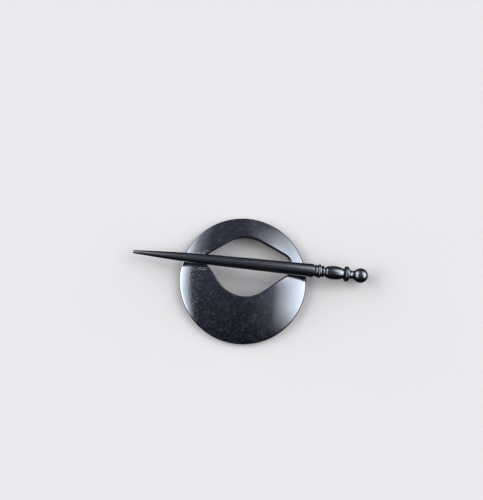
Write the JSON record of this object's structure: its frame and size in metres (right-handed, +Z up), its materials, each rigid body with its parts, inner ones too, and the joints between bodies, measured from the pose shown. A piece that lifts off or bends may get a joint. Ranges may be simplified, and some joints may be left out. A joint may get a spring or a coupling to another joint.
{
  "type": "wooden hair slide with stick",
  "caption": "Round domed wooden hair slide with an almond shaped eye and a turned hair stick lying across it, which draws out endwise to let the hair go.",
  "frame": {"origin": "middle of the plane that the disc's rim stands on, under the top of the dome", "axes": "+Z up through the dome, square to the rim; +X across the disc towards the stick's head; +Y across the disc to the narrow band above the eye"},
  "size_m": [0.1577, 0.085, 0.018],
  "materials": {
    "stained_disc": "satin",
    "stained_stick": "gloss"
  },
  "bodies": {
    "disc": {"disc": "stained_disc"},
    "stick": {"hair_stick": "stained_stick"}
  },
  "joints": [
    {"name": "stick_draw", "type": "slide", "parent": "disc", "child": "stick", "axis": [0.9793, -0.1038, 0.1736], "range_m": [0, 0.12]}
  ]
}
